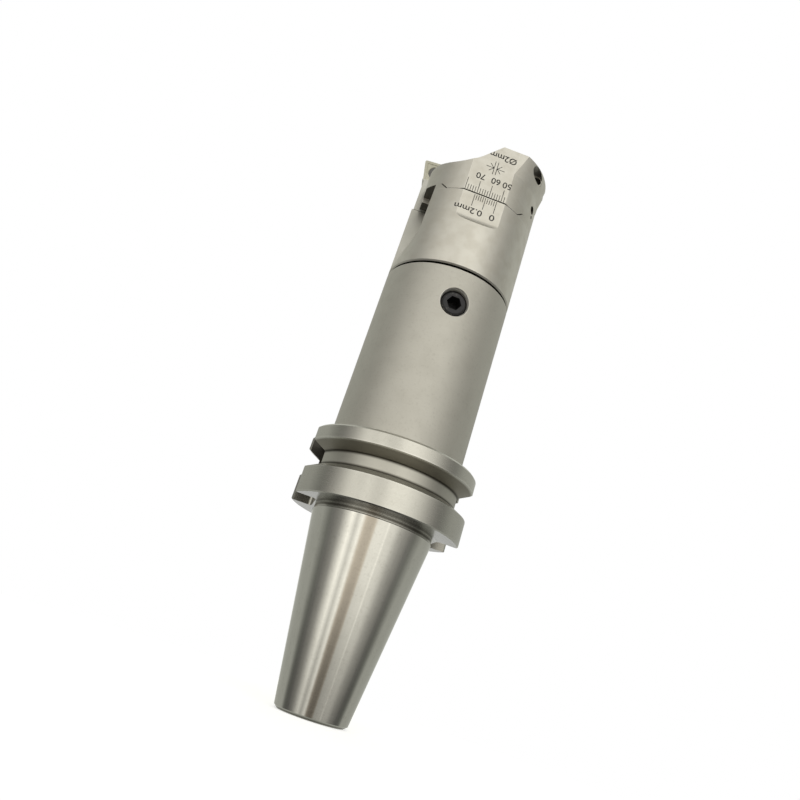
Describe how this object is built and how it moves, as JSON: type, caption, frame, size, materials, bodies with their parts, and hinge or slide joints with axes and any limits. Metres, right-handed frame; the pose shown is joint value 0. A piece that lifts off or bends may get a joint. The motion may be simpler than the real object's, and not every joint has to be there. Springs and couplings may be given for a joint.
{
  "type": "boring head",
  "caption": "Rough boring head with opposed sliding cartridges and indexable inserts, joined by a lock screw coupling to a 7/24 taper arbor with a flange and gripper groove.",
  "frame": {"origin": "centre of the taper's gauge line, on the tool's axis", "axes": "+Z along the tool's axis towards the cutting end; the cartridges slide along X; the front cartridge's scale faces -Y"},
  "size_m": [0.0614, 0.063, 0.2231],
  "materials": {
    "arbor_steel": "hardened steel, ground on the taper and fine turned on the flange and body",
    "nickel_plated_steel": "satin nickel plating, warm grey",
    "black_screw_steel": "black oxide",
    "bright_pin_steel": "bright ground steel",
    "coated_carbide": "pale coating on sintered carbide, matt"
  },
  "bodies": {
    "tool_body": {"taper_arbor": "arbor_steel", "drive_pin_left": "bright_pin_steel", "drive_pin_right": "bright_pin_steel", "head_body": "nickel_plated_steel", "front_nut_post": "bright_pin_steel", "rear_nut_post": "bright_pin_steel", "front_clamp_washer": "bright_pin_steel", "rear_clamp_washer": "bright_pin_steel"},
    "lock_screw": {"lock_screw": "black_screw_steel"},
    "front_slide": {"front_cartridge": "nickel_plated_steel", "front_insert": "coated_carbide", "front_insert_screw": "black_screw_steel", "front_retaining_pin": "nickel_plated_steel"},
    "rear_slide": {"rear_cartridge": "nickel_plated_steel", "rear_insert": "coated_carbide", "rear_insert_screw": "black_screw_steel", "rear_retaining_pin": "nickel_plated_steel"},
    "front_adjuster": {"front_adjusting_screw": "black_screw_steel"},
    "rear_adjuster": {"rear_adjusting_screw": "black_screw_steel"},
    "front_clamp": {"front_clamp_screw": "black_screw_steel"},
    "rear_clamp": {"rear_clamp_screw": "black_screw_steel"}
  },
  "joints": [
    {"name": "lock_screw_release", "type": "slide", "parent": "tool_body", "child": "lock_screw", "axis": [0.0541, -0.9985, 0], "range_m": [0, 0.004]},
    {"name": "front_bore_setting", "type": "slide", "parent": "tool_body", "child": "front_slide", "axis": [1, 0, 0], "range_m": [0, 0.0085]},
    {"name": "rear_bore_setting", "type": "slide", "parent": "tool_body", "child": "rear_slide", "axis": [-1, 0, 0], "range_m": [0, 0.0085]},
    {"name": "front_adjuster_turn", "type": "hinge", "parent": "front_slide", "child": "front_adjuster", "pos_m": [0.01, -0.0129, 0.1418], "axis": [1, 0, 0], "range_deg": [0, 6121]},
    {"name": "rear_adjuster_turn", "type": "hinge", "parent": "rear_slide", "child": "rear_adjuster", "pos_m": [-0.01, 0.0129, 0.1418], "axis": [-1, 0, 0], "range_deg": [0, 6121]},
    {"name": "front_clamp_turn", "type": "hinge", "parent": "tool_body", "child": "front_clamp", "pos_m": [-0.006, -0.0108, 0.144], "axis": [0, 0, 1], "range_deg": [0, 90]},
    {"name": "rear_clamp_turn", "type": "hinge", "parent": "tool_body", "child": "rear_clamp", "pos_m": [0.006, 0.0108, 0.144], "axis": [0, 0, 1], "range_deg": [0, 90]}
  ],
  "couplings": [
    {"joint": "front_adjuster_turn", "follows": "front_bore_setting", "rad_per_m": 12566},
    {"joint": "rear_adjuster_turn", "follows": "rear_bore_setting", "rad_per_m": 12566}
  ]
}
